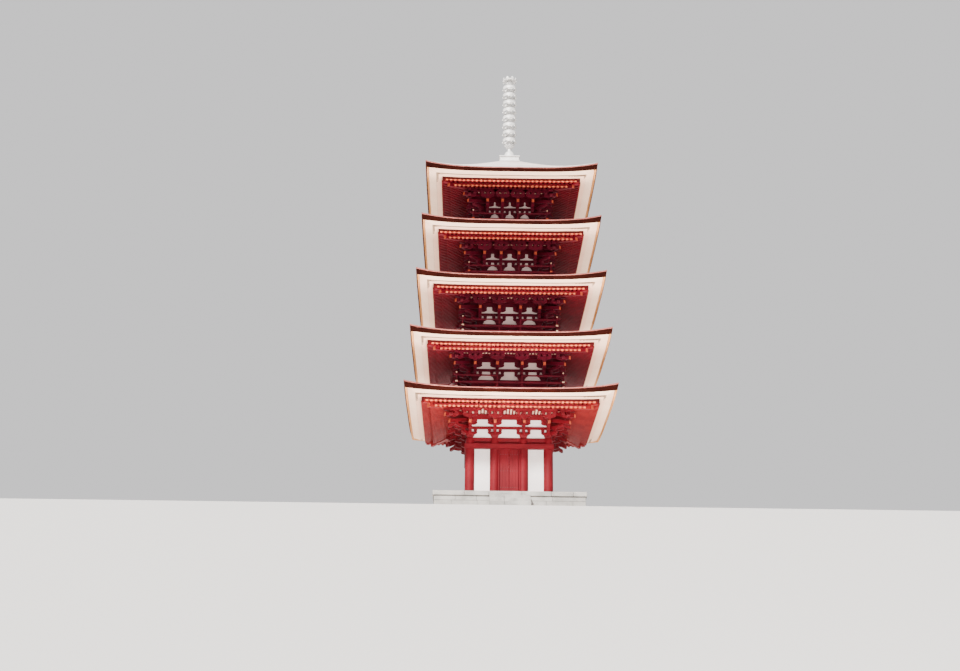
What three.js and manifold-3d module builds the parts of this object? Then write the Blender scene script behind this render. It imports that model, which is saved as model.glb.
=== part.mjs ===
// A five-storey timber pagoda, three bays square, with bark-covered roofs and a ringed bronze spire.
// Millimetres, +Z up. The origin is at ground level under the middle of the tower, and the front faces -Y.
import * as THREE from "three";
import { mergeVertices } from "three/addons/utils/BufferGeometryUtils.js";
import Module from "manifold-3d";

const wasm = await Module();
wasm.setup();

// Driving dimensions
const GAP = 0.3; // kept between pieces that touch
const CORNER_POST = [1227, 1095, 957, 832, 750]; // half the distance between corner posts, storey by storey
const INNER_POST = [452, 390, 340, 290, 253]; // half the width of the middle bay
const POST_RADIUS = [150, 135, 125, 118, 112];
const PODIUM_HEIGHT = 600;
const FIRST_POST_TOP = 2515;
const POST_TOP_ABOVE_FIRST = [0, 1935, 3865, 5785, 7685];
const EAVE_REACH = 2050; // from the post line out to the tip of the bark
const STATIONS = [-1, -0.8, -0.45, 0.45, 0.8]; // along each side of the eaves, as a share of its half length

// How far the eaves turn up at their corners, and how fast that grows along a side and outwards
const TIMBER_LIFT = { height: 170, start: 650, power: 3.5 };
const ROOF_LIFT = { height: 200, start: 450, power: 1.7 };
const LIP_LIFT = 115; // of the lower edge of the bark
const SWEEP = 3.6;
// How much higher the tip of each storey's eaves lies than on the middle storeys, and how that fades inwards
const EAVE_RISE = [100, 0, 0, 0, -25];
const RISE_POWER = 1.6;

// The wall, from the post line: it stands between these offsets, and the timbers are fixed outside it
const WALL_IN = -60;
const WALL_OUT = 20;
const TIMBER_IN = WALL_OUT + GAP;

// The eaves, as offsets from the post line and heights above the post tops
const RAFTER_SLOPE = 0.33;
const GROUND_END = { out: 1240, bottom: 622.5, depth: 90 };
const FLYING_END = { out: 1520, bottom: 675, top: 740 };
const KIOI_TOP = 735; // where the flying rafters leave the ground rafters
const RAFTER_TAIL = -300; // the rafters run on this far inside the post line
const BEARER = { out: 1500, in: 1420, top: 818 }; // the curved eave bearer that carries the boards
const LOWER_BOARD = { in: BEARER.in, out: 1690 };
const UPPER_BOARD = { in: LOWER_BOARD.out, inBottom: 853, out: 1930, outBottom: 875, top: 915 };
const BARK = { lip: 1990, lipBottom: 880, top: 985, thickness: 150 };

const colours = {
  red: { color: 0xa8281f, roughness: 0.6, metalness: 0 },
  plaster: { color: 0xe9e4dc, roughness: 0.9, metalness: 0 },
  white: { color: 0xefe6da, roughness: 0.7, metalness: 0 },
  bark: { color: 0x6b4a38, roughness: 0.95, metalness: 0 },
  stone: { color: 0x9a968c, roughness: 0.9, metalness: 0 },
  bronze: { color: 0xb9b8b0, roughness: 0.5, metalness: 0.6 },
  floor: { color: 0x7d5a3c, roughness: 0.8, metalness: 0 },
};
const materials = {};
for (const [name, values] of Object.entries(colours)) {
  materials[name] = new THREE.MeshStandardMaterial(values);
}

const pagoda = new THREE.Group();

function solid(geometry) {
  const bare = geometry.index ? geometry.clone() : geometry;
  bare.deleteAttribute("normal");
  bare.deleteAttribute("uv");
  const merged = mergeVertices(bare, 1e-3);
  const mesh = new wasm.Mesh({
    numProp: 3,
    vertProperties: merged.attributes.position.array,
    triVerts: new Uint32Array(merged.index.array),
  });
  return new wasm.Manifold(mesh);
}

function union(pieces) {
  return pieces.reduce((whole, piece) => whole.add(piece));
}

function geometryOf(manifold) {
  const mesh = manifold.getMesh();
  const points = new Float32Array(mesh.numVert * 3);
  for (let i = 0; i < mesh.numVert; i += 1) {
    points.set(mesh.vertProperties.subarray(i * mesh.numProp, i * mesh.numProp + 3), i * 3);
  }
  const geometry = new THREE.BufferGeometry();
  geometry.setAttribute("position", new THREE.BufferAttribute(points, 3));
  geometry.setIndex(new THREE.BufferAttribute(mesh.triVerts, 1));
  geometry.computeVertexNormals();
  return geometry;
}

function place(name, shape, material) {
  const geometry = shape.isBufferGeometry ? shape : geometryOf(shape);
  const mesh = new THREE.Mesh(geometry, materials[material]);
  mesh.name = name;
  pagoda.add(mesh);
  return mesh;
}

// A box between two corners.
function box(x0, x1, y0, y1, z0, z1) {
  const geometry = new THREE.BoxGeometry(x1 - x0, y1 - y0, z1 - z0);
  geometry.translate((x0 + x1) / 2, (y0 + y1) / 2, (z0 + z1) / 2);
  return geometry;
}

// An upright round post.
function post(x, y, radius, z0, z1, sides) {
  const geometry = new THREE.CylinderGeometry(radius, radius, z1 - z0, sides);
  geometry.rotateX(Math.PI / 2);
  geometry.translate(x, y, (z0 + z1) / 2);
  return geometry;
}

// A level square frame of timbers, from half size a to half size b.
function frame(a, b, z0, z1) {
  return solid(box(-b, b, -b, b, z0, z1)).subtract(solid(box(-a, a, -a, a, z0 - 1, z1 + 1)));
}

// The same solid made on the front, turned onto the other three sides as well.
function onFourSides(geometry) {
  const sides = [0, 1, 2, 3].map((turn) => solid(geometry.clone().rotateZ((turn * Math.PI) / 2)));
  return union(sides);
}

// How far a line of the eaves turns up at its corners, for one that lies this far out from the posts.
function liftAt(out, { height, start, power }) {
  const share = Math.max(0, out - start) / (EAVE_REACH - start);
  return height * share ** power;
}

// How much higher than on the middle storeys the eaves of this one lie, this far out from the posts.
function riseAt(storey, out) {
  return EAVE_RISE[storey] * (Math.max(0, out) / EAVE_REACH) ** RISE_POWER;
}

// A square ring swept round the tower, whose corners turn up as the eaves do.
// Each point of its section is a half size, a height and its lift at the corner.
function eaveRing(section) {
  const points = [];
  for (let side = 0; side < 4; side += 1) {
    const turn = (side * Math.PI) / 2;
    for (const share of STATIONS) {
      const sweep = Math.abs(share) ** SWEEP;
      for (const [half, height, lift] of section) {
        const along = share * half;
        const x = along * Math.cos(turn) + half * Math.sin(turn);
        const y = along * Math.sin(turn) - half * Math.cos(turn);
        points.push(x, y, height + lift * sweep);
      }
    }
  }
  const rows = 4 * STATIONS.length;
  const n = section.length;
  const index = [];
  for (let row = 0; row < rows; row += 1) {
    const next = (row + 1) % rows;
    const risingSide = STATIONS[row % STATIONS.length] > 0;
    for (let i = 0; i < n; i += 1) {
      const j = (i + 1) % n;
      const a = row * n + i;
      const b = next * n + i;
      const c = next * n + j;
      const d = row * n + j;
      // Faces that lie on each other split along the same diagonal, whichever way their sections run.
      if (section[i][0] < section[j][0] === risingSide) {
        index.push(a, b, c, a, c, d);
      } else {
        index.push(a, b, d, b, c, d);
      }
    }
  }
  const geometry = new THREE.BufferGeometry();
  geometry.setAttribute("position", new THREE.BufferAttribute(new Float32Array(points), 3));
  geometry.setIndex(index);
  return geometry;
}

// Where the twelve posts of a storey stand, going round it.
function postPlaces(storey) {
  const c = CORNER_POST[storey];
  const b = INNER_POST[storey];
  const places = [];
  for (let side = 0; side < 4; side += 1) {
    for (const along of [-c, -b, b]) {
      const turned = new THREE.Vector3(along, -c, 0).applyAxisAngle(
        new THREE.Vector3(0, 0, 1),
        (side * Math.PI) / 2,
      );
      places.push([turned.x, turned.y]);
    }
  }
  return places;
}

// Podium
const PODIUM = { half: 2300, coping: 2340, copingDepth: 140 };
const STEP = { count: 3, tread: 250, halfWidth: 620 };

function makePodium() {
  const copingBottom = PODIUM_HEIGHT - PODIUM.copingDepth;
  place("podium", box(-PODIUM.half, PODIUM.half, -PODIUM.half, PODIUM.half, 0, copingBottom), "stone");
  const half = PODIUM.coping;
  place("podium_coping", box(-half, half, -half, half, copingBottom + GAP, PODIUM_HEIGHT), "stone");
  const outline = new THREE.Shape();
  const rise = PODIUM_HEIGHT / (STEP.count + 1);
  const wall = -PODIUM.half - GAP;
  outline.moveTo(wall, 0);
  for (let i = STEP.count; i > 0; i -= 1) {
    const nose = wall - i * STEP.tread;
    const height = rise * (STEP.count + 1 - i);
    outline.lineTo(nose, height - rise);
    outline.lineTo(nose, height);
  }
  outline.lineTo(wall, rise * STEP.count);
  const width = 2 * STEP.halfWidth;
  const steps = new THREE.ExtrudeGeometry(outline, { depth: width, bevelEnabled: false });
  steps.rotateX(Math.PI / 2);
  steps.rotateZ(Math.PI / 2);
  steps.translate(-STEP.halfWidth, 0, 0);
  place("front_steps", steps, "stone");
}

// First storey
const SILL_TOP = PODIUM_HEIGHT + 160;
const LINTEL = { bottom: FIRST_POST_TOP - 360, top: FIRST_POST_TOP - 190 };
const RAIL_OUT = 175; // how far the sill and lintel rails stand out from the post line
const TIE_OUT = 75;
const TIE_DEPTH = 150;
const JAMB = { face: 306, back: 345, out: 130 };
const LEAF = { edge: 293, meeting: 3, in: 62, out: 98, clearance: 5, pivot: 275 };
const PIN = { radius: 14, length: 25, hole: 15.5 };
const PIVOT_OUT = (LEAF.in + LEAF.out) / 2;

function makeFirstFrame() {
  const c = CORNER_POST[0];
  const bottom = PODIUM_HEIGHT + GAP;
  const posts = postPlaces(0).map(([x, y]) => solid(post(x, y, POST_RADIUS[0], bottom, FIRST_POST_TOP, 8)));
  const rails = [
    frame(c + TIMBER_IN, c + RAIL_OUT, bottom, SILL_TOP),
    frame(c + TIMBER_IN, c + RAIL_OUT, LINTEL.bottom, LINTEL.top),
    frame(c + TIMBER_IN, c + TIE_OUT, FIRST_POST_TOP - TIE_DEPTH, FIRST_POST_TOP),
  ];
  const jamb = box(JAMB.face, JAMB.back, -c - JAMB.out, -c - TIMBER_IN, SILL_TOP - 10, LINTEL.bottom + 10);
  const otherJamb = jamb.clone().translate(-JAMB.face - JAMB.back, 0, 0);
  let whole = union([...posts, ...rails, onFourSides(jamb), onFourSides(otherJamb)]);
  for (const x of [-LEAF.pivot, LEAF.pivot]) {
    const reach = PIN.length + LEAF.clearance;
    const y = -c - PIVOT_OUT;
    const low = post(x, y, PIN.hole, SILL_TOP - PIN.length, SILL_TOP + 1, 8);
    const high = post(x, y, PIN.hole, LINTEL.bottom - 1, LINTEL.bottom - LEAF.clearance + reach, 8);
    whole = whole.subtract(solid(low)).subtract(solid(high));
  }
  place("posts_1", whole, "red");
}

// The plaster wall of a storey, from its foot up to the rafters, cut round the posts.
function wallRing(storey, bottom) {
  const c = CORNER_POST[storey];
  const top = postTop(storey) + wallTop() - GAP;
  const ring = frame(c + WALL_IN, c + WALL_OUT, bottom, top);
  const radius = POST_RADIUS[storey] + GAP;
  const head = postTop(storey) + GAP;
  const sides = storey ? 6 : 8;
  const holes = postPlaces(storey).map(([x, y]) => solid(post(x, y, radius, bottom - 1, head, sides)));
  return ring.subtract(union(holes));
}

const DOORWAY_REACH = 100; // the cut for a doorway runs on this far, through the whole wall

function makeFirstWall() {
  const c = CORNER_POST[0];
  const outside = -c - DOORWAY_REACH;
  const inside = -c + DOORWAY_REACH;
  const doorway = box(-JAMB.face, JAMB.face, outside, inside, SILL_TOP, LINTEL.bottom);
  const wall = wallRing(0, PODIUM_HEIGHT + GAP).subtract(onFourSides(doorway));
  place("wall_1", wall, "plaster");
}

const JOIST = { pitch: 600, half: 60, top: 100 }; // heights above the podium
const FLOOR_BOARD = { bottom: 90, top: 140 };

function makeFloor() {
  const half = CORNER_POST[0] - POST_RADIUS[0] - GAP;
  const joist = box(-JOIST.half, JOIST.half, -half, half, PODIUM_HEIGHT + GAP, PODIUM_HEIGHT + JOIST.top);
  const joists = [-1, 0, 1].map((i) => joist.clone().translate(i * JOIST.pitch, 0, 0));
  const { bottom, top } = FLOOR_BOARD;
  const boards = box(-half, half, -half, half, PODIUM_HEIGHT + bottom, PODIUM_HEIGHT + top);
  place("floor", union([boards, ...joists].map(solid)), "floor");
}

const CEILING_DEPTH = 40;

// The ceiling of the first storey lies on the heads of the posts.
function makeCeiling() {
  const half = CORNER_POST[0] + WALL_IN - GAP;
  const bottom = FIRST_POST_TOP + GAP;
  place("ceiling", box(-half, half, -half, half, bottom, bottom + CEILING_DEPTH), "floor");
}

// One leaf of the front door, with the pins it turns on. Side is -1 on the left and 1 on the right.
function makeDoorLeaf(side, name) {
  const c = CORNER_POST[0];
  const bottom = SILL_TOP + LEAF.clearance;
  const top = LINTEL.bottom - LEAF.clearance;
  const edges = [side * LEAF.edge, side * LEAF.meeting].sort((a, b) => a - b);
  const leaf = solid(box(edges[0], edges[1], -c - LEAF.out, -c - LEAF.in, bottom, top));
  const x = side * LEAF.pivot;
  const y = -c - PIVOT_OUT;
  const low = SILL_TOP - PIN.length + GAP;
  const high = LINTEL.bottom - LEAF.clearance + PIN.length;
  const pins = solid(post(x, y, PIN.radius, low, high, 8));
  place(name, leaf.add(pins), "red");
}

// The pair of plank doors on another side, which stays closed.
function makeClosedDoor(turn, name) {
  const c = CORNER_POST[0];
  const edge = JAMB.face - GAP;
  const bottom = SILL_TOP + GAP;
  const top = LINTEL.bottom - GAP;
  const doors = box(-edge, edge, -c - LEAF.out, -c - LEAF.in, bottom, top);
  place(name, doors.rotateZ((turn * Math.PI) / 2), "red");
}

// Upper storeys
const SKIRT = { bottom: -480, top: -215, out: 165 }; // the rail that the roof below runs up to

function postTop(storey) {
  return FIRST_POST_TOP + POST_TOP_ABOVE_FIRST[storey];
}

// The underside of the ground rafters at the wall, above the post tops.
function wallTop() {
  return GROUND_END.bottom + RAFTER_SLOPE * (GROUND_END.out - WALL_OUT);
}

// The underside of the ground rafters of a storey, this far out from the posts.
function raftersAbove(storey, out) {
  const start = wallTop() + riseAt(storey, WALL_OUT);
  const end = GROUND_END.bottom + riseAt(storey, GROUND_END.out);
  return start + ((end - start) * (out - WALL_OUT)) / (GROUND_END.out - WALL_OUT);
}

// The level on which the frame of an upper storey stands.
function storeyFoot(storey) {
  return postTop(storey - 1) + wallTop() + GROUND_END.depth + GAP;
}

function makeUpperFrame(storey) {
  const c = CORNER_POST[storey];
  const top = postTop(storey);
  const foot = storeyFoot(storey);
  const radius = POST_RADIUS[storey];
  const posts = postPlaces(storey).map(([x, y]) => solid(post(x, y, radius, foot, top, 6)));
  const skirt = frame(c + TIMBER_IN, c + SKIRT.out, top + SKIRT.bottom, top + SKIRT.top);
  place(`posts_${storey + 1}`, union([...posts, skirt]), "red");
  place(`wall_${storey + 1}`, wallRing(storey, foot), "plaster");
}

// Brackets: plates that reach out from each post, and the eave purlin that they carry
const BRACKET_HALF = 50;
const PURLIN = { in: 540, out: 660, bottom: 710 };
const BRACKET_OUTLINE = [
  [TIMBER_IN, 0],
  [115, 0],
  [450, 280],
  [700, 335],
  [700, 425],
  [650, 740],
  [550, 740],
  [TIMBER_IN, 664],
];

// The outline of a bracket seen from the side, as a plate across the wall.
function bracketPlate(reach, z) {
  const outline = new THREE.Shape();
  BRACKET_OUTLINE.forEach(([out, height], i) => {
    outline[i ? "lineTo" : "moveTo"](out * reach, height + GAP);
  });
  const plate = new THREE.ExtrudeGeometry(outline, { depth: 2 * BRACKET_HALF, bevelEnabled: false });
  plate.rotateX(Math.PI / 2);
  plate.translate(0, BRACKET_HALF, z);
  return plate;
}

function makeBrackets(storey) {
  const c = CORNER_POST[storey];
  const b = INNER_POST[storey];
  const top = postTop(storey);
  const pieces = [];
  for (const x of [-c, -b, b, c]) {
    const plate = bracketPlate(1, top).rotateZ(-Math.PI / 2).translate(x, -c, 0);
    pieces.push(onFourSides(plate));
  }
  const diagonal = bracketPlate(Math.SQRT2, top).rotateZ(-Math.PI / 4).translate(c, -c, 0);
  pieces.push(onFourSides(diagonal));
  const purlinTop = raftersAbove(storey, PURLIN.out) - GAP;
  pieces.push(frame(c + PURLIN.in, c + PURLIN.out, top + PURLIN.bottom, top + purlinTop));
  place(`brackets_${storey + 1}`, union(pieces), "red");
}

// Eaves and roofs

// A line of the eaves of a storey: its half size, its height and its lift at the corner.
function eaveLine(storey, out, height) {
  const level = postTop(storey) + height + riseAt(storey, out);
  return [CORNER_POST[storey] + out, level, liftAt(out, TIMBER_LIFT)];
}

function makeEaves(storey) {
  const at = (out, height) => eaveLine(storey, out, height);
  const rafters = [
    at(GROUND_END.out, GROUND_END.bottom),
    at(WALL_OUT, wallTop()),
    at(RAFTER_TAIL, wallTop()),
    at(RAFTER_TAIL, wallTop() + GROUND_END.depth),
    at(WALL_OUT, wallTop() + GROUND_END.depth),
    at(BEARER.in, BEARER.top),
    at(BEARER.out, BEARER.top),
    at(BEARER.out, FLYING_END.top),
    at(FLYING_END.out, FLYING_END.top),
    at(FLYING_END.out, FLYING_END.bottom),
    at(GROUND_END.out - 1, KIOI_TOP),
  ].reverse();
  place(`rafters_${storey + 1}`, solid(eaveRing(rafters)), "red");
  const seat = BEARER.top + GAP;
  const boards = [
    at(LOWER_BOARD.in, seat),
    at(LOWER_BOARD.in, UPPER_BOARD.top),
    at(UPPER_BOARD.out, UPPER_BOARD.top),
    at(UPPER_BOARD.out, UPPER_BOARD.outBottom),
    at(UPPER_BOARD.in, UPPER_BOARD.inBottom),
    at(LOWER_BOARD.out, seat),
    at(BEARER.out, seat),
  ].reverse();
  place(`eave_boards_${storey + 1}`, solid(eaveRing(boards)), "white");
}

const RAILING_OUT = [0, 585, 550, 505, 470]; // from the post line
const RAILING_END = 120; // how far the rails run on past their crossing
const TOP_RAIL = { bottom: -25, top: 25, half: 25 };
const MIDDLE_RAIL = { bottom: -255, top: -205, half: 30 };
const FOOT_RAIL = { depth: 50, half: 28 };
const BALUSTER_HALF = 20;
const RAIL_LAP = 10; // how far the balusters are let into the rails

function railingLine(storey) {
  return CORNER_POST[storey] + RAILING_OUT[storey];
}

const LOWER_ROOF = { slope: 0.26, curve: 0.03 / 1000 };
const TOP_ROOF = { slope: 0.437, curve: 0.045 / 1000, flat: 330, hole: 60 };

function roofHeight(shape, inward) {
  return BARK.top + shape.slope * inward + shape.curve * inward * inward;
}

function makeRoof(storey) {
  const c = CORNER_POST[storey];
  const top = postTop(storey);
  const last = storey === CORNER_POST.length - 1;
  const shape = last ? TOP_ROOF : LOWER_ROOF;
  const inner = last ? TOP_ROOF.flat : CORNER_POST[storey + 1] + SKIRT.out + GAP;
  const onRoof = (half) => {
    const out = half - c;
    const level = top + roofHeight(shape, EAVE_REACH - out) + riseAt(storey, out);
    return [half, level, liftAt(out, ROOF_LIFT)];
  };
  const underRoof = (half) => [half, onRoof(half)[1] - BARK.thickness, 0];
  const onBoards = (out) => eaveLine(storey, out, UPPER_BOARD.top + GAP);
  const tip = c + EAVE_REACH;
  const section = [
    onRoof(tip),
    [c + BARK.lip, top + BARK.lipBottom + riseAt(storey, BARK.lip), LIP_LIFT],
    onBoards(UPPER_BOARD.out),
    onBoards(LOWER_BOARD.in),
    underRoof(inner),
  ];
  if (last) {
    section.push(
      [TOP_ROOF.hole, underRoof(inner)[1], 0],
      [TOP_ROOF.hole, onRoof(inner)[1], 0],
    );
  }
  const bend = last ? inner + (tip - inner) / 3 : railingLine(storey + 1) - FOOT_RAIL.half;
  section.push(onRoof(inner), onRoof(bend), onRoof(inner + (2 * (tip - inner)) / 3));
  place(`roof_${storey + 1}`, solid(eaveRing(section.reverse())), "bark");
}

// Two rails run right round, the lower one on the roof below, and the top rail stops at the middle bays.
function makeRailing(storey) {
  const line = railingLine(storey);
  const top = postTop(storey);
  const reach = line + RAILING_END;
  const middle = INNER_POST[storey];
  const w = BALUSTER_HALF;
  const inward = CORNER_POST[storey - 1] + EAVE_REACH - line + FOOT_RAIL.half;
  const innerEdge = line - FOOT_RAIL.half - CORNER_POST[storey - 1];
  const foot = postTop(storey - 1) + roofHeight(LOWER_ROOF, inward) + riseAt(storey - 1, innerEdge) + GAP;
  const rail = (x0, x1, half, z0, z1) => onFourSides(box(x0, x1, -line - half, -line + half, z0, z1));
  const topRail = [TOP_RAIL.half, top + TOP_RAIL.bottom, top + TOP_RAIL.top];
  const pieces = [
    rail(-reach, w - middle, ...topRail),
    rail(middle - w, reach, ...topRail),
    rail(-reach, reach, MIDDLE_RAIL.half, top + MIDDLE_RAIL.bottom, top + MIDDLE_RAIL.top),
    rail(-reach, reach, FOOT_RAIL.half, foot, foot + FOOT_RAIL.depth),
  ];
  const z0 = foot + FOOT_RAIL.depth - RAIL_LAP;
  const z1 = top + TOP_RAIL.bottom + RAIL_LAP;
  for (const x of [-line, -middle, middle]) {
    pieces.push(rail(x - w, x + w, w, z0, z1));
  }
  place(`railing_${storey + 1}`, union(pieces), "red");
}

// Spire
const BASIN = { half: 320, rim: 350, height: 210, rimDepth: 40 };
// The dome and the open lotus flower above it. The mast stands inside the flower, at the last height.
const DOME = [
  [0, 0],
  [235, 0],
  [238, 120],
  [215, 215],
  [165, 290],
  [95, 335],
  [60, 345],
  [75, 430],
  [180, 530],
  [150, 545],
  [125, 500],
  [0, 500],
];
const RING = { first: 13444, pitch: 290, count: 8, radius: 235, thickness: 45, height: 90, sides: 10 };
const SPOKE = { half: 12, depth: 30 };
const MAST_RADIUS = 110;
const VASE = [
  [0, 0],
  [95, 0],
  [80, 30],
  [125, 75],
  [135, 120],
  [95, 175],
  [60, 210],
  [0, 210],
];
const CANOPY = [
  [0, 0],
  [90, 0],
  [235, -20],
  [256, 20],
  [235, 20],
  [120, 40],
  [50, 60],
  [0, 60],
];
const JEWEL = [
  [0, 0],
  [35, 0],
  [50, 35],
  [35, 65],
  [0, 90],
];

function turned(profile, sides) {
  const points = profile.map(([radius, height]) => new THREE.Vector2(radius, height));
  return new THREE.LatheGeometry(points, sides).rotateX(Math.PI / 2);
}

// The height at which the profile of a turned piece ends on its axis.
function heightOf(profile) {
  return profile[profile.length - 1][1];
}

function makeBasin(base) {
  const { half, rim, height, rimDepth } = BASIN;
  const block = [
    box(-half, half, -half, half, base, base + height),
    box(-rim, rim, -rim, rim, base + height - rimDepth, base + height),
    box(-rim, rim, -rim, rim, base, base + rimDepth),
  ];
  place("dew_basin", union(block.map(solid)), "bronze");
}

// The mast with its rings, from the lotus up to the given height.
function makeMast(foot, top) {
  const { radius, thickness, height, sides } = RING;
  const pieces = [solid(post(0, 0, MAST_RADIUS, foot, top, sides))];
  const hoop = [
    [radius - thickness, -height / 2],
    [radius, -height / 2],
    [radius, height / 2],
    [radius - thickness, height / 2],
    [radius - thickness, -height / 2],
  ];
  const reach = radius - thickness / 2;
  for (let i = 0; i < RING.count; i += 1) {
    const z = RING.first + i * RING.pitch;
    pieces.push(solid(turned(hoop, sides).translate(0, 0, z)));
    pieces.push(solid(box(-reach, reach, -SPOKE.half, SPOKE.half, z - SPOKE.depth / 2, z + SPOKE.depth / 2)));
  }
  place("mast_and_rings", union(pieces), "bronze");
}

function makeSpire() {
  const roofTop = postTop(4) + roofHeight(TOP_ROOF, CORNER_POST[4] + EAVE_REACH - TOP_ROOF.flat);
  const base = roofTop + GAP;
  makeBasin(base);
  const domeFoot = base + BASIN.height + GAP;
  place("dome_and_lotus", turned(DOME, 16).translate(0, 0, domeFoot), "bronze");
  const mastTop = RING.first + RING.pitch * (RING.count - 1) + RING.height;
  makeMast(domeFoot + heightOf(DOME) + GAP, mastTop);
  const vaseFoot = mastTop + GAP;
  const canopyFoot = vaseFoot + heightOf(VASE) + GAP;
  const jewelFoot = canopyFoot + heightOf(CANOPY) + GAP;
  place("treasure_vase", turned(VASE, 12).translate(0, 0, vaseFoot), "bronze");
  place("canopy", turned(CANOPY, 8).rotateZ(Math.PI / 8).translate(0, 0, canopyFoot), "bronze");
  place("jewel", turned(JEWEL, 12).translate(0, 0, jewelFoot), "bronze");
}

makePodium();
makeFirstFrame();
makeFirstWall();
makeFloor();
makeCeiling();
makeDoorLeaf(-1, "door_leaf_left");
makeDoorLeaf(1, "door_leaf_right");
makeClosedDoor(1, "door_east");
makeClosedDoor(2, "door_back");
makeClosedDoor(3, "door_west");
for (let storey = 0; storey < CORNER_POST.length; storey += 1) {
  if (storey > 0) {
    makeUpperFrame(storey);
    makeRailing(storey);
  }
  makeBrackets(storey);
  makeEaves(storey);
  makeRoof(storey);
}
makeSpire();

export default pagoda;
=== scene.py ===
"""The looks of a five-storey timber pagoda: painted timbers, plaster, layered bark roofs and a bronze spire.

Everything is in metres. The front faces -Y. Each part of a side is made as if on the front and then
turned onto the other three sides. Heights of a storey are counted from the tops of its posts, and
"out" is the distance outwards from the line of its posts.
"""

import math
import random
from contextlib import contextmanager

import bmesh
import bpy
from mathutils import Matrix, Vector, noise


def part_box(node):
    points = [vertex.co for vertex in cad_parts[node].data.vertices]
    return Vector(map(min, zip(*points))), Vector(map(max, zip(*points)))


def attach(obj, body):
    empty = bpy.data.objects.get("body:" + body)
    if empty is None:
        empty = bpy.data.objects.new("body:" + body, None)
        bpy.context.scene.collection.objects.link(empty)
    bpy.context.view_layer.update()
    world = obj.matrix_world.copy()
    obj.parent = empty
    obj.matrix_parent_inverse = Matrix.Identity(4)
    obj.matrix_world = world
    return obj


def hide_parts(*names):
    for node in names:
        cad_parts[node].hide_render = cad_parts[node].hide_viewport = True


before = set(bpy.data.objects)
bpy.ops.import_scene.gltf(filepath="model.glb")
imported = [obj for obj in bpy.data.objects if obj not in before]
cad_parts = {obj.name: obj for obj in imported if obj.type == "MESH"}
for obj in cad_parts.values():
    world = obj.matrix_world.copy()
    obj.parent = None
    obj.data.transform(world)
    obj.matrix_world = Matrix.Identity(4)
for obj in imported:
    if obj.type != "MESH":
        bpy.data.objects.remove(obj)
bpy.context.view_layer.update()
SEED = 4
# the noise vectors, which roughen the bark, follow the seed
noise.seed_set(SEED)

TOWER = "tower"
STOREYS = (1, 2, 3, 4, 5)
SIDES = 4
QUARTER = math.pi / 2
CAD_GAP = 0.0003  # between neighbouring solids
WALL_OUT = 0.02
INNER_POST = {1: 0.452, 2: 0.39, 3: 0.34, 4: 0.29, 5: 0.253}
POST_RADIUS = {1: 0.15, 2: 0.135, 3: 0.125, 4: 0.118, 5: 0.112}
CORNER_POST = {n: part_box(f"wall_{n}")[1][0] - WALL_OUT for n in STOREYS}
POST_TOP = {n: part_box(f"brackets_{n}")[0][2] - CAD_GAP for n in STOREYS[1:]}
POST_TOP[1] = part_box("posts_1")[1][2]

# The eaves
TIP = 2.05
# how much higher the tip of each storey's eaves lies than on the middle storeys, and how that fades inwards
EAVE_RISE = {1: 0.1, 2: 0.0, 3: 0.0, 4: 0.0, 5: -0.025}
RISE_POWER = 1.6
SWEEP = 3.6
# how much the corners turn up at the tip, how far out this begins, and how sharply it grows
TIMBER_LIFT = (0.17, 0.65, 3.5)
ROOF_LIFT = (0.2, 0.45, 1.7)
LIP_LIFT = 0.115


def lift_at(out, kind):
    """How far a line of the eaves turns up at its corners."""
    height, start, power = kind
    return height * (max(0.0, out - start) / (TIP - start)) ** power


def rise_at(storey, out):
    """How much higher than on the middle storeys the eaves of this one lie, this far out."""
    return EAVE_RISE[storey] * (max(0.0, out) / TIP) ** RISE_POWER


def moved(x, y, z):
    return Matrix.Translation((x, y, z))


def spun(angle, axis="Z"):
    return Matrix.Rotation(angle, 4, axis)


def new_object(name, data):
    made = bpy.data.objects.new(name, data)
    bpy.context.scene.collection.objects.link(made)
    return made


# Materials

SHADER = "Principled BSDF"
# the scale of the broad patches, the scale of the grain, and the strength of the bumps
PAINT = (2.2, 38.0, 0.25)
LIME = (1.4, 70.0, 0.4)
BOARD = (1.2, 30.0, 0.2)
END = (6.0, 60.0, 0.2)
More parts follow.
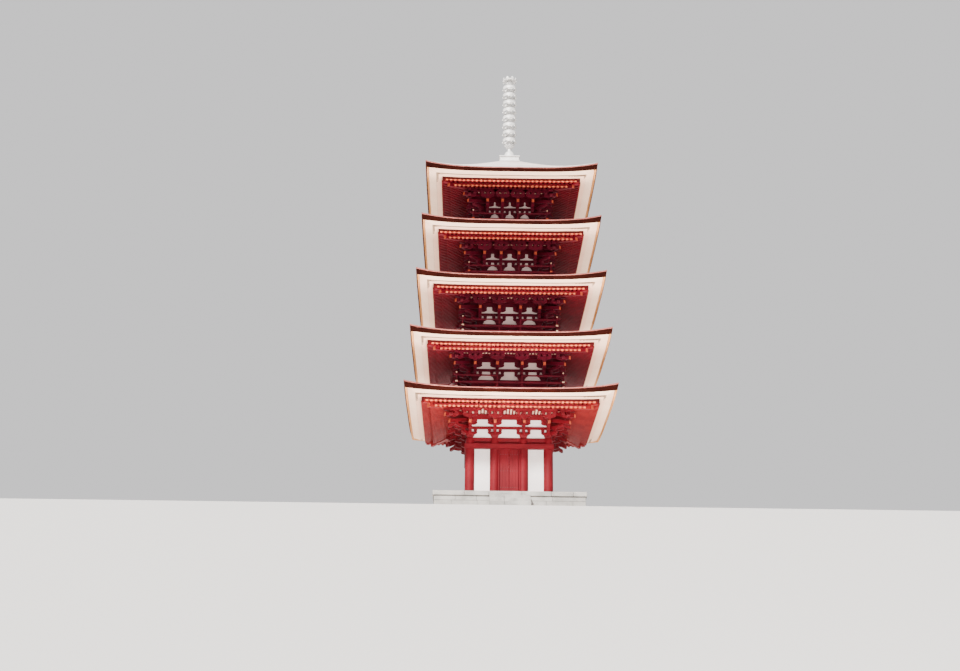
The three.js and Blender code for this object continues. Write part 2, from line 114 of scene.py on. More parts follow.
# the name of each material, its light and dark colours, its roughness, and how its surface varies
PAINTS = {
    "red": ("red_paint", (0.155, 0.004, 0.0095), (0.115, 0.003, 0.007), 0.6, *PAINT),
    # a lighter copy of the red for the soffits of the first storey: painted light from the ground below
    "lit_rafter_red": ("lit_rafter_red", (0.26, 0.013, 0.013), (0.2, 0.009, 0.01), 0.6, *PAINT),
    # a darker copy of the red for the timbers of the upper storeys: painted shade
    "shaded_bracket_red": ("shaded_bracket_red", (0.108, 0.0035, 0.015), (0.079, 0.0025, 0.0105), 0.6, *PAINT),
    # a darker copy of the red for the soffits of the upper storeys: painted shade
    "shaded_soffit_red": ("shaded_soffit_red", (0.145, 0.003, 0.0105), (0.108, 0.0022, 0.0075), 0.6, *PAINT),
    # a very dark copy of the red for the bearer: painted shade under the overhanging eave boards
    "deep_red": ("deep_red", (0.06, 0.002, 0.004), (0.045, 0.0015, 0.003), 0.6, *PAINT),
    # a pinker copy of the plaster for the walls of the upper storeys: painted shade with a red cast
    "pink_shaded_plaster": ("pink_shaded_plaster", (0.92, 0.72, 0.67), (0.83, 0.64, 0.59), 0.9, *LIME),
    # a pinker copy of the board white for the lower eave board: painted warm light
    "warm_white": ("warm_lit_boards", (0.98, 0.655, 0.47), (0.94, 0.595, 0.425), 0.75, *BOARD),
    "plaster": ("lime_plaster", (0.9, 0.84, 0.82), (0.8, 0.74, 0.72), 0.9, *LIME),
    "white": ("white_boards", (0.98, 0.715, 0.53), (0.94, 0.655, 0.475), 0.75, *BOARD),
    "yellow": ("yellow_ends", (0.8, 0.2, 0.085), (0.7, 0.15, 0.065), 0.6, *END),
    "salmon": ("salmon_boards", (0.34, 0.04, 0.026), (0.27, 0.03, 0.02), 0.6, *END),
    "orange": ("orange_ends", (0.47, 0.075, 0.03), (0.37, 0.055, 0.022), 0.6, *END),
    "pale_end": ("pale_ends", (0.62, 0.4, 0.28), (0.5, 0.3, 0.2), 0.6, *END),
    "stone": ("cut_stone", (0.42, 0.4, 0.37), (0.27, 0.26, 0.24), 0.85, 2.5, 45.0, 0.8),
    # weathered bronze, made near white as painted sunlight on the spire
    "bronze": ("sunlit_weathered_bronze", (0.82, 0.81, 0.79), (0.66, 0.65, 0.63), 0.55, 5.0, 80.0, 0.3),
    "iron": ("dark_iron", (0.05, 0.045, 0.04), (0.03, 0.028, 0.026), 0.5, 8.0, 90.0, 0.3),
}
# the same, and then how close the courses lie, how much they waver, how deep they are and their direction
COURSES = {
    # the roof tops: bark weathered paler, and lightened further to near white as painted sunlight
    "bark_top": ("bark_top", (0.86, 0.78, 0.75), (0.7, 0.61, 0.57), 0.95, 9.0, 2.0, 0.012, "Z"),
    # the cut edge of the bark, made very dark: painted shade on the same bark that is lit orange underneath
    "bark_edge": ("bark_edge", (0.03, 0.005, 0.003), (0.02, 0.0035, 0.0022), 0.9, 28.0, 1.2, 0.006, "Z"),
    # the uppermost layer of the cut edge: weathered bark with a painted highlight of the sunlit upper edge
    "bark_lip": ("bark_lip", (0.44, 0.15, 0.125), (0.31, 0.1, 0.085), 0.9, 28.0, 1.2, 0.006, "Z"),
    # the underside of the bark, a bright orange-tan: painted light on the same bark that is dark on its cut
    # edge
    "bark_under": ("bark_under", (0.94, 0.5, 0.2), (0.8, 0.4, 0.14), 0.9, 24.0, 1.5, 0.004, "Z"),
    # bare wood, also used in the gap between the eave boards to darken the shadow line there: painted shade
    "wood": ("bare_boards", (0.36, 0.24, 0.15), (0.24, 0.15, 0.09), 0.7, 3.2, 3.0, 0.003, "X"),
}
DULL = ("red", "shaded_bracket_red", "shaded_soffit_red", "deep_red", "lit_rafter_red", "white", "warm_white")
DULL += ("yellow", "salmon", "orange", "bark_top", "bark_lip", "bark_under")
SPECULAR = dict.fromkeys(DULL, 0.15) | {"bark_edge": 0.03}
BRONZE_METALLIC = 0.2
# the upper storeys take darker copies of the reds as painted shade, and the first storey, lit most by the
# ground below, takes the lighter reds as painted light
MAIN_FINISH = dict.fromkeys(STOREYS, "shaded_bracket_red") | {1: "red"}
SOFFIT_FINISH = dict.fromkeys(STOREYS, "shaded_soffit_red") | {1: "lit_rafter_red"}


class Look:
    """A material whose colour and bumps are built up from textures."""

    def __init__(self, name):
        self.material = bpy.data.materials.new(name)
        self.material.use_nodes = True
        self.nodes = self.material.node_tree.nodes
        self.link = self.material.node_tree.links.new
        self.shader = self.nodes[SHADER]

    def texture(self, kind, values):
        node = self.nodes.new(kind)
        for name, value in values.items():
            node.inputs[name].default_value = value
        where = self.nodes.new("ShaderNodeTexCoord")
        self.link(where.outputs["Object"], node.inputs["Vector"])
        return node

    def noise(self, scale, detail):
        return self.texture("ShaderNodeTexNoise", {"Scale": scale, "Detail": detail})

    def ramp(self, texture, *stops):
        """A ramp from one colour to another on a texture, each at its position."""
        node = self.nodes.new("ShaderNodeValToRGB")
        for element, (position, colour) in zip(node.color_ramp.elements, stops):
            element.position = position
            element.color = (*colour, 1)
        self.link(texture.outputs["Fac"], node.inputs["Fac"])
        return node.outputs["Color"]

    def multiply(self, amount, first, second):
        """Two colours multiplied. Their sockets share one name, so they are taken by number."""
        node = self.nodes.new("ShaderNodeMix")
        node.data_type = "RGBA"
        node.blend_type = "MULTIPLY"
        node.inputs["Factor"].default_value = amount
        self.link(first, node.inputs[6])
        self.link(second, node.inputs[7])
        return node.outputs[2]

    def finish(self, colour, roughness, height, strength, distance):
        bump = self.nodes.new("ShaderNodeBump")
        bump.inputs["Strength"].default_value = strength
        bump.inputs["Distance"].default_value = distance
        self.link(height, bump.inputs["Height"])
        self.link(bump.outputs["Normal"], self.shader.inputs["Normal"])
        self.link(colour, self.shader.inputs["Base Color"])
        self.shader.inputs["Roughness"].default_value = roughness
        return self.material


def grey(level):
    return (level, level, level)


def painted(name, light, dark, roughness, patch, grain, bump):
    """A painted or plastered surface: broad soft patches, fine mottling and a slight unevenness."""
    look = Look(name)
    fine = look.noise(grain, 4.0)
    patches = look.ramp(look.noise(patch, 3.0), (0.36, dark), (0.62, light))
    mottling = look.ramp(fine, (0.3, grey(0.82)), (0.65, grey(1.0)))
    return look.finish(look.multiply(0.8, patches, mottling), roughness, fine.outputs["Fac"], bump, 0.002)


def banded(name, light, dark, roughness, band, wobble, bump_distance, direction):
    """Thin courses one above another, such as layers of bark."""
    look = Look(name)
    form = {"Scale": band, "Distortion": wobble, "Detail": 3.0, "Detail Scale": 1.5}
    wave = look.texture("ShaderNodeTexWave", form)
    wave.bands_direction = direction
    fibres = look.noise(60.0, 4.0)
    patches = look.ramp(look.noise(1.6, 5.0), (0.35, dark), (0.65, light))
    bands = look.ramp(wave, (0.0, (0.62, 0.6, 0.6)), (0.45, grey(1.0)))
    streaks = look.ramp(fibres, (0.3, grey(0.7)), (0.7, grey(1.0)))
    colour = look.multiply(0.8, look.multiply(0.9, patches, bands), streaks)
    height = look.multiply(0.6, wave.outputs["Color"], fibres.outputs["Color"])
    return look.finish(colour, roughness, height, 0.7, bump_distance)


def make_materials():
    made = {key: painted(*values) for key, values in PAINTS.items()}
    made.update({key: banded(*values) for key, values in COURSES.items()})
    for key, level in SPECULAR.items():
        made[key].node_tree.nodes[SHADER].inputs["Specular IOR Level"].default_value = level
    made["bronze"].node_tree.nodes[SHADER].inputs["Metallic"].default_value = BRONZE_METALLIC
    return made


MATERIALS = make_materials()


# Shapes

SMOOTH_ANGLE = 35
BEVEL_ANGLE = 40
# the frequency and the share of the two noises that roughen a surface
ROUGHENING = ((9.0, 1.0), (31.0, 0.4))


def corners(a0, a1, b0, b1):
    return ((a0, b0), (a1, b0), (a1, b1), (a0, b1))


def across(x0, x1, y, z0, z1):
    """The corners of an upright rectangle, seen from the front."""
    return [(x, y, z) for x, z in corners(x0, x1, z0, z1)]


def sideways(x, y0, y1, z0, z1):
    """The corners of an upright rectangle, seen from the side."""
    return [(x, y, z) for y, z in corners(y0, y1, z0, z1)]


class Shape:
    """Faces gathered for one object, each with the name of its material. Most have the shape's own finish."""

    def __init__(self, finish):
        self.finish = finish
        self.points = []
        self.faces = []
        self.finishes = []
        self.at = Matrix.Identity(4)

    @contextmanager
    def placed(self, *steps):
        """What is made inside is moved and turned by these steps."""
        kept = self.at.copy()
        for step in steps:
            self.at = self.at @ step
        yield
        self.at = kept

    def around(self, count, make, offset=0.0):
        """Makes something again and again, round the z axis."""
        for k in range(count):
            with self.placed(spun(2 * math.pi * (k + offset) / count)):
                make()

    def add(self, points, faces, finish=None):
        first = len(self.points)
        self.points.extend(self.at @ Vector(point) for point in points)
        self.faces.extend(tuple(first + i for i in face) for face in faces)
        if not isinstance(finish, list):
            finish = [finish or self.finish] * len(faces)
        self.finishes.extend(finish)

    def solid(self, *loops, finish=None, low_finish=None, high_finish=None):
        """A solid through outlines with the same number of points."""
        n = len(loops[0])
        last = n * (len(loops) - 1)
        faces = []
        for a in range(0, last, n):
            faces += [(a + i, a + (i + 1) % n, a + n + (i + 1) % n, a + n + i) for i in range(n)]
        finish = finish or self.finish
        finishes = [finish] * len(faces) + [low_finish or finish, high_finish or finish]
        faces += [tuple(range(n)), tuple(range(last, last + n))]
        self.add([point for loop in loops for point in loop], faces, finishes)

    def box(self, x0, x1, y0, y1, z0, z1):
        self.solid(*[[(x, y, z) for x, y in corners(x0, x1, y0, y1)] for z in (z0, z1)])

    def taper(self, z0, half0, z1, half1):
        """A square block round the z axis whose half width changes from one height to another."""
        ends = ((z0, half0), (z1, half1))
        self.solid(*[[(x, y, z) for x, y in corners(-half, half, -half, half)] for z, half in ends])

    def tapers(self, steps, height=1.0):
        """Tapers one on another, through (share of the height, half width) steps."""
        for (a, half0), (b, half1) in zip(steps, steps[1:]):
            self.taper(height * a, half0, height * b, half1)

    def plate_across(self, outline, x0, x1):
        """An outline of (out, height) points, seen from the side, as a plate from x0 to x1."""
        self.solid(*[[(x, -out, z) for out, z in outline] for x in (x0, x1)])

    def plate_along(self, outline, out0, out1):
        """An outline of (x, height) points, seen from the front, as a plate between two distances out."""
        self.solid(*[[(x, -out, z) for x, z in outline] for out in (out0, out1)])

    def turned(self, profile, sides, finish=None, offset=0.5):
        """A closed loop of (radius, height) points turned round the z axis. Those on the axis are single."""
        points = []
        rows = []
        for radius, z in profile:
            n = sides if radius else 1
            rows.append([len(points) + i % n for i in range(sides)])
            for i in range(n):
                angle = 2 * math.pi * (i + offset) / sides
                points.append((radius * math.cos(angle), radius * math.sin(angle), z))
        faces = []
        for a, b in zip(rows, rows[1:] + rows[:1]):
            for i in range(sides):
                j = (i + 1) % sides
                face = tuple(dict.fromkeys((a[i], a[j], b[j], b[i])))
                if len(face) > 2:
                    faces.append(face)
        self.add(points, faces, finish)

    def eave_ring(self, section, finishes, stations=40, rough=0.0):
        """A square ring whose corners turn up. Its section is a loop of (half size, height, lift) points."""
        n = len(section)
        if isinstance(finishes, str):
            finishes = [finishes] * n
        rows = []
        points = []
        for side in range(SIDES):
            turn = spun(side * QUARTER)
            for i in range(stations):
                share = math.sin(math.pi * (i / stations - 0.5))
                sweep = abs(share) ** SWEEP
                rows.append([len(points) + k for k in range(n)])
                for half, z, lift in section:
                    point = turn @ Vector((share * half, -half, z + lift * sweep))
                    if rough:
                        for frequency, part in ROUGHENING:
                            point += noise.noise_vector(point * frequency) * rough * part
                    points.append(point)
        faces = []
        for a, b in zip(rows, rows[1:] + rows[:1]):
            faces += [(a[k], b[k], b[(k + 1) % n], a[(k + 1) % n]) for k in range(n)]
        self.add(points, faces, list(finishes) * len(rows))

    def frames(self, half, foot, sizes):
        """Level square frames of timber, each from and to how far out, and from and to which height."""
        for size in sizes:
            self.eave_ring([(half + out, foot + z, 0) for out, z in corners(*size)], self.finish, 2)

    def object(self, name, *nodes, body=TOWER, bevel=0.0, slot=None):
        names = sorted(set(self.finishes))
        mesh = bpy.data.meshes.new(name)
        mesh.from_pydata([tuple(point) for point in self.points], [], self.faces)
        for finish in names:
            mesh.materials.append(MATERIALS[finish])
        index = {finish: i for i, finish in enumerate(names)}
        mesh.polygons.foreach_set("material_index", [index[finish] for finish in self.finishes])
        mesh.validate()
        face_out(mesh)
        mesh.shade_smooth()
        mesh.set_sharp_from_angle(angle=math.radians(SMOOTH_ANGLE))
        piece = new_object(name, mesh)
        if bevel:
            modifier = piece.modifiers.new("Bevel", "BEVEL")
            modifier.width = bevel
            modifier.segments = 1
            modifier.limit_method = "ANGLE"
            modifier.angle_limit = math.radians(BEVEL_ANGLE)
            modifier.harden_normals = True
        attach(piece, body)
        if nodes:
            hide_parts(*nodes)


def face_out(mesh):
    """Turns every closed part of a mesh so that its faces point out."""
    made = bmesh.new()
    made.from_mesh(mesh)
    bmesh.ops.recalc_face_normals(made, faces=made.faces)
    made.to_mesh(mesh)
    made.free()


# Rafters

RAFTER_PITCH = {1: 0.1385, 2: 0.135, 3: 0.135, 4: 0.14, 5: 0.14}
RAFTER_SHIFT = {1: 0.5, 2: 0, 3: 0, 4: 0, 5: 0}  # half a pitch where no rafter stands on the middle line
GROUND = {"width": 0.068, "depth": 0.06, "end": 1.24, "bottom": 0.6225, "slope": 0.33, "start": 0.02}
FLYING = {"width": 0.066, "depth": 0.052, "end": 1.52, "bottom": 0.68, "slope": 0.227, "start": 0.95}
SHORTEST_RAFTER = 0.02
HIP_HALF = 0.055
# under each corner: how far the hip rafter reaches past its tier, its depth, and the finish of its tip
HIP_RAFTERS = ((GROUND, 0.05, 0.13, "orange"), (FLYING, -0.07, 0.11, "red"))
HIP_TIP_DROP = 0.6
END_BOARD = {"back": 0.03, "front": 0.007, "height": 0.03}
# the boards on the rafters: from and to how far out, how thick, and how far they sink into the rafters.
# Inside the wall they lie level.
SOFFITS = ((GROUND, -0.3, 1.235), (FLYING, 1.1, 1.47))
SOFFIT_BOARD = 0.014
SOFFIT_SUNK = 0.003
# the batten on the ends of the ground rafters and the bearer on those of the flying rafters: from and to
# how far out, from and to which height, and how far out the eaves have its height
BATTEN = (1.15, 1.238, 0.684, 0.742, 1.22)
BEARER = (1.41, 1.5, 0.735, 0.818, 1.5)


def rafter_height(tier, storey, x, out):
    """The underside of a rafter of this tier above the post tops, at x and this far out."""
    at_ends = []
    for end in (tier["start"], tier["end"]):
        share = min(1, abs(x) / (CORNER_POST[storey] + end))
        at_ends.append(rise_at(storey, end) + lift_at(end, TIMBER_LIFT) * share**SWEEP)
    along = (out - tier["start"]) / (tier["end"] - tier["start"])
    level = tier["bottom"] + tier["slope"] * (tier["end"] - out)
    return level + at_ends[0] + (at_ends[1] - at_ends[0]) * along


def start_of_rafter(storey, tier, x):
    """How far out a rafter starts, past the hip rafter near a corner, or None where it is too short."""
    start = max(tier["start"], abs(x) + HIP_HALF - CORNER_POST[storey])
    return start if start <= tier["end"] - SHORTEST_RAFTER else None


def add_rafters(shape, storey, tier):
    c = CORNER_POST[storey]
    half = tier["width"] / 2
    pitch = RAFTER_PITCH[storey]
    count = int((c + tier["end"]) / pitch) + 1
    for i in range(-count, count + 1):
        x = (i + RAFTER_SHIFT[storey]) * pitch
        start = start_of_rafter(storey, tier, x)
        if start is None:
            continue
        ends = []
        for out in (start, tier["end"]):
            low = POST_TOP[storey] + rafter_height(tier, storey, x, out)
            ends.append(across(x - half, x + half, -c - out, low, low + tier["depth"]))
        shape.solid(*ends, high_finish="yellow")
        if start_of_rafter(storey, tier, x + pitch) is not None:
            add_end_board(shape, storey, tier, x + half, x + pitch - half)


def add_end_board(shape, storey, tier, x0, x1):
    """The painted board that closes the gap between the ends of two rafters."""
    back = -CORNER_POST[storey] - (tier["end"] - END_BOARD["back"])
    front = -CORNER_POST[storey] - (tier["end"] - END_BOARD["front"])
    ends = []
    for x in (x0, x1):
        top = POST_TOP[storey] + rafter_height(tier, storey, x, tier["end"]) + tier["depth"]
        ends.append(sideways(x, back, front, top - END_BOARD["height"], top))
    shape.solid(*ends, finish="salmon")


def add_hip_rafters(shape, storey):
    """The two rafters under each corner, one tier above the other."""
    c = CORNER_POST[storey]
    z = POST_TOP[storey]
    for tier, past, depth, tip in HIP_RAFTERS:
        start = tier["start"]
        end = tier["end"]
        drop = depth - tier["depth"]
        low_z = z + rafter_height(tier, storey, c + start, start) - drop
        high_z = z + rafter_height(tier, storey, c + end, end) - drop * HIP_TIP_DROP
        with shape.placed(moved(c, -c, 0), spun(QUARTER / 2)):
            ends = []
            for out, level in ((start, low_z), (end + past, high_z)):
                ends.append(across(-HIP_HALF, HIP_HALF, -out * math.sqrt(2), level, level + depth))
            shape.solid(*ends, high_finish=tip)


def soffit_point(tier, storey, out, above):
    height = POST_TOP[storey] + rafter_height(tier, storey, 0, out) + above
    return (CORNER_POST[storey] + out, height, lift_at(out, TIMBER_LIFT))


def level_ring(storey, size):
    """The section of a square timber that runs round on the rafters."""
    *sides, at = size
    base = POST_TOP[storey] + rise_at(storey, at)
    lift = lift_at(at, TIMBER_LIFT)
    return [(CORNER_POST[storey] + out, base + z, lift) for out, z in corners(*sides)]


def make_rafters(storey):
    # the first storey's soffits take the lit red and the upper ones the shaded red: painted light and shade
    finish = SOFFIT_FINISH[storey]
    shape = Shape(finish)

    def one_side():
        add_rafters(shape, storey, GROUND)
        add_rafters(shape, storey, FLYING)
        add_hip_rafters(shape, storey)

    shape.around(SIDES, one_side)
    for tier, inner, outer in SOFFITS:
        above = tier["depth"] - SOFFIT_SUNK
        board = corners(inner, outer, above, above + SOFFIT_BOARD)
        loop = [soffit_point(tier, storey, out, height) for out, height in board]
        if tier is GROUND:
            level = soffit_point(tier, storey, WALL_OUT, above)[1]
            board = corners(inner, WALL_OUT, level, level + SOFFIT_BOARD)
            inside = [(CORNER_POST[storey] + out, z, 0) for out, z in board]
            loop = inside[:2] + loop[1:3] + inside[2:]
        shape.eave_ring(loop, finish)
    shape.eave_ring(level_ring(storey, BATTEN), "red")
    # the bearer takes the very dark red: painted shade under the eave boards
    shape.eave_ring(level_ring(storey, BEARER), "deep_red")
    shape.object(f"storey_{storey}_rafters", f"rafters_{storey}", slot="red_paint")


# the lower eave board, which takes a pinker copy of the board white as painted warm light, the gap between
# the boards, and the upper board
EAVE_BOARDS = (
    (1.4, 0.8185, "warm_white"),
    # the faces in the gap take the darker wood colour, which deepens the line between the boards: painted
    # shade
    (1.69, 0.8185, "wood"),
    (1.62, 0.8205, "wood"),
    (1.62, 0.842, "wood"),
    (1.695, 0.842, "white"),
    (1.928, 0.875, "white"),
    (1.93, 0.877, "white"),
    (1.93, 0.915, "white"),
    (1.4, 0.915, "white"),
)


def eave_point(storey, out, height, lift):
    return (CORNER_POST[storey] + out, POST_TOP[storey] + height + rise_at(storey, out), lift)


def make_eave_boards(storey):
    loop = [eave_point(storey, out, z, lift_at(out, TIMBER_LIFT)) for out, z, _ in EAVE_BOARDS]
    shape = Shape("white")
    shape.eave_ring(loop, [finish for _, _, finish in EAVE_BOARDS], 44)
    shape.object(f"storey_{storey}_eave_boards", f"eave_boards_{storey}", slot="white_paint")


# Bark roofs

# the slope of a roof at its edge, and how fast it steepens inwards
LOWER_ROOF = (0.26, 0.03)
TOP_ROOF = (0.437, 0.045)
BARK_TOP = 0.98
BARK_THICKNESS = 0.15
BARK_LAYERS = 6
HIGHLIGHT_LAYERS = 1  # the uppermost layer, weathered paler and given a painted highlight where the sun catches the upper edge
LAYER_FACE = 0.8
LAYER_NOTCH = 0.007
LIP = (1.99, 0.84)
PULLED_IN = 0.007
EDGE_ROUNDING = 0.004
LAYERS_TOP = BARK_TOP - 0.008
SHOULDER = BARK_TOP - 0.006
CROWN = BARK_TOP + 0.001
ROOF_ROWS = 16
ROW_POWER = 1.3
ROUGHNESS = 0.004
SKIRT_OUT = 0.165
TOP_ROOF_FLAT = 0.33
MAST_HOLE = 0.06
# where the roof lies on the eave boards: how far out, from and to, and how high
ON_BOARDS = (1.42, 1.93, 0.916)


def roof_height(form, inward):
    return BARK_TOP + form[0] * inward + form[1] * inward * inward


def make_bark(storey):
    c = CORNER_POST[storey]
    last = storey == STOREYS[-1]
    form = TOP_ROOF if last else LOWER_ROOF
    inner = TOP_ROOF_FLAT if last else CORNER_POST[storey + 1] + SKIRT_OUT + CAD_GAP
    edge = TIP - PULLED_IN
    loop = []
    finishes = []

    def add(out, height, lift, finish):
        loop.append(eave_point(storey, out, height, lift))
        finishes.append(finish)

    # up the cut edge, layer by layer, each a little proud of the one below
    tip_lift = lift_at(TIP, ROOF_LIFT)
    for layer in range(BARK_LAYERS):
        a = layer / BARK_LAYERS
        b = (layer + LAYER_FACE) / BARK_LAYERS
        # the lower layers take the dark bark colour as painted shade, and the uppermost the painted highlight
        finish = "bark_edge" if layer < BARK_LAYERS - HIGHLIGHT_LAYERS else "bark_lip"
        for share, notch in ((a, 0.0), (b, 0.0), (b, LAYER_NOTCH)):
            out = LIP[0] + (edge - EDGE_ROUNDING - LIP[0]) * share - notch
            height = LIP[1] + (LAYERS_TOP - LIP[1]) * share
            add(out, height, LIP_LIFT + (tip_lift - LIP_LIFT) * share, finish)
    add(edge, SHOULDER, tip_lift, "bark_lip")
    add(edge - EDGE_ROUNDING, CROWN, tip_lift, "bark_top")
    # up the roof
    reach = c + TIP - inner
    for i in range(1, ROOF_ROWS + 1):
        inward = reach * (i / ROOF_ROWS) ** ROW_POWER
        out = TIP - inward
        add(out, roof_height(form, inward), lift_at(out, ROOF_LIFT), "bark_top")
    top = roof_height(form, reach)
    if last:
        add(MAST_HOLE - c, top, 0, "bark_top")
        add(MAST_HOLE - c, top - BARK_THICKNESS, 0, "bark_under")
    # the underside takes the bright bark colour: painted light
    add(inner - c, top - BARK_THICKNESS, 0, "bark_under")
    for out in ON_BOARDS[:2]:
        add(out, ON_BOARDS[2], lift_at(out, TIMBER_LIFT), "bark_under")
    # the roof's top takes the pale bark colour: weathered bark with painted sunlight
    shape = Shape("bark_top")
    shape.eave_ring(loop, finishes, 90, ROUGHNESS)
    shape.object(f"storey_{storey}_bark_roof", f"roof_{storey}", slot="bark")


# Brackets

# the height, or its share, and the half width of each step of a block
BIG_BLOCK = ((0.0, 0.095), (0.03, 0.102), (0.06, 0.118), (0.078, 0.135), (0.17, 0.135))
SMALL_BLOCK = ((0.0, 0.038), (0.2, 0.042), (0.42, 0.055), (1.0, 0.055))
BLOCK_X = 0.17
BLOCK_HEIGHT = 0.08
ARM = 0.225
SHORT_ARM = 0.05
ARM_CLEARANCE = 0.012
ARM_HALF = 0.048
ARM_FOOT = 0.085
ARM_CURVE = 0.55
ARM_STEPS = 4
# the arms in the plane of the wall: bottom, top, and the top of the blocks on them
WALL_ARMS = ((0.1, 0.205, 0.284), (0.425, 0.52, 0.6))
WALL_ARM_OUT = 0.056
WALL_BLOCK_OUT = 0.004
MIDDLE_BLOCK = (0.37, 0.06)
BACKING = (-0.03, 0.02, 0.515, 0.605)
# the arms that step outwards: how far out, bottom, top, and the height of the block on each
STEP_ARMS = ((0.22, 0.1, 0.205, 0.079), (0.44, 0.284, 0.362, 0.055))
STEP_TIP = 0.06
STEP_CURVE = ((0.14, 0.0), (0.07, 0.35), (0.0, 1.0))
TAIL = {"end": 0.7, "height": 0.374, "slope": 0.36, "depth": 0.11, "half": 0.042}
DIAGONAL_TAIL = {"lower_end": 0.65, "upper_end": 0.79, "upper_height": 0.55}
PURLIN_OUT = 0.6
PURLIN_ARM = (0.53, 0.63)
TAIL_BLOCK_FOOT = 0.45
PURLIN_BLOCK = 0.085
# the end of a purlin: from and to how far out, from and to which height, and how far past the corner
PURLIN_END = (0.545, 0.655, 0.725, 0.81)
PURLIN_PAST = 0.2
BEARING_ARM = {"bottom": 0.715, "step": 0.742, "top": 0.798, "corner": 0.14, "wider": 0.02, "rise": 0.008}
BEARING_HALF = 0.04
# how far the arms under the purlin reach to each side, low down and above their step
BEARING_REACH = {1: (0.24, 0.345), 2: (0.23, 0.3), 3: (0.24, 0.34), 4: (0.3, 0.345), 5: (0.3, 0.345)}
CEILING = {"pitch": 0.0992, "rib": 0.042, "rib_bottom": 0.768, "board": 0.797, "top": 0.81}
CEILING_OUT = (0.05, 0.57)
RIB_SUNK = 0.002
# the level timbers round a storey, on the wall and under the rafters
BEAMS = ((-0.03, 0.06, 0.284, 0.37), (-0.03, 0.06, 0.6, 0.775), (0.55, 0.65, 0.796, 0.828))
# deeper timbers above the first storey, which leave less of the ceiling to see: they take the place of the
# shade on the ceiling's inner part there, as painted shade
CEILING_SHADE_BEAMS = ((0.04, 0.31, 0.735, 0.8), (0.48, 0.64, 0.782, 0.82))


def small_block(shape, x, out, z, height=BLOCK_HEIGHT):
    with shape.placed(moved(x, -out, z)):
        shape.tapers(SMALL_BLOCK, height=height)


def arm_outline(left, right, z0, z1):
    """A bracket arm seen from its broad side, with undersides that curve up towards its ends."""
    rise = (z1 - z0) * ARM_CURVE

    def curve(end, sign):
        if end <= ARM_FOOT:
            return [(sign * end, z0)]
        shares = [i / ARM_STEPS for i in range(ARM_STEPS + 1)]
        return [(sign * (ARM_FOOT + (end - ARM_FOOT) * share), z0 + rise * share * share) for share in shares]

    return [(-left, z1), *reversed(curve(left, -1)), *curve(right, 1), (right, z1)]


def wall_set(shape, left, right):
    """What stands on a post in the plane of the wall: block, arm, blocks, and again."""
    shape.tapers(BIG_BLOCK)
    for z0, z1, top in WALL_ARMS:
        shape.plate_along(arm_outline(left, right, z0, z1), 0.0, WALL_ARM_OUT)
        for x, reach in ((-BLOCK_X, left), (0, 1), (BLOCK_X, right)):
            if abs(x) < reach:
                small_block(shape, x, WALL_BLOCK_OUT, z1, top - z1)
    small_block(shape, 0, WALL_BLOCK_OUT, *MIDDLE_BLOCK)
    # the upper blocks stand on one solid timber, so that no plaster shows between them
    for sign, reach in ((-1, left), (1, right)):
        if reach > BLOCK_X:
            shape.box(min(0, sign * BLOCK_X), max(0, sign * BLOCK_X), *BACKING)


def add_tail(shape, end, tip_height, slope):
    """A tail rafter that slopes down outwards, with a painted tip."""
    depth = TAIL["depth"] / 2
    half = TAIL["half"]
    ends = []
    for out, middle in ((WALL_OUT, tip_height + slope * end), (end, tip_height)):
        ends.append(across(-half, half, -out, middle - depth, middle + depth))
    shape.solid(*ends, high_finish="orange")


def step_set(shape, reach, tail_end):
    """The arms that step outwards, and the tail rafter above them. Reach is longer on the diagonal."""
    for end, z0, z1, _ in STEP_ARMS:
        tip = end * reach + STEP_TIP
        rise = (z1 - z0) / 2
        outline = [(WALL_OUT, z0), *[(tip - back, z0 + rise * share) for back, share in STEP_CURVE]]
        outline += [(tip, z1), (WALL_OUT, z1)]
        shape.plate_across(outline, -ARM_HALF, ARM_HALF)
    for end, _, z1, height in STEP_ARMS:
        small_block(shape, 0, end * reach, z1, height)
    add_tail(shape, tail_end * reach, TAIL["height"], TAIL["slope"] / reach)


def purlin_arm(shape, left, right):
    outline = arm_outline(left, right, *PURLIN_ARM)
    shape.plate_along(outline, PURLIN_OUT - ARM_HALF, PURLIN_OUT + ARM_HALF)


def bearing_arm(shape, left, right):
    """The arm that lies right under the purlin. Each reach is given low down and above the arm's step."""
    z0, step, z1 = BEARING_ARM["bottom"], BEARING_ARM["step"], BEARING_ARM["top"]
    outline = []
    for sign, (low, high) in ((-1, left), (1, right)):
        half = [(low, z0), (low, step), (high - BEARING_ARM["wider"], step + BEARING_ARM["rise"]), (high, z1)]
        outline += [(sign * x, z) for x, z in (half if sign > 0 else reversed(half))]
    shape.plate_along(outline, PURLIN_OUT - BEARING_HALF, PURLIN_OUT + BEARING_HALF)


def purlin_set(shape, arm, reach):
    """The arm and blocks on the end of a tail rafter, which carry the eave purlin."""
    small_block(shape, 0, PURLIN_OUT, TAIL_BLOCK_FOOT)
    purlin_arm(shape, arm, arm)
    for x in (-BLOCK_X, 0, BLOCK_X):
        small_block(shape, x, PURLIN_OUT, PURLIN_ARM[1], PURLIN_BLOCK)
    bearing_arm(shape, reach, reach)


def corner_sets(shape, storey):
    """The half sets where the purlins meet over each corner."""
    inward = (ARM, BEARING_REACH[storey])
    short = BEARING_ARM["corner"]
    outward = (short, (short, short + BEARING_ARM["wider"]))
    c = CORNER_POST[storey]
    for sign, left, right in ((1, inward, outward), (-1, outward, inward)):
        with shape.placed(moved(sign * (c + PURLIN_OUT), -c, POST_TOP[storey])):
            purlin_arm(shape, left[0], right[0])
            for x in (-sign * BLOCK_X, 0):
                small_block(shape, x, PURLIN_OUT, PURLIN_ARM[1])
            bearing_arm(shape, left[1], right[1])


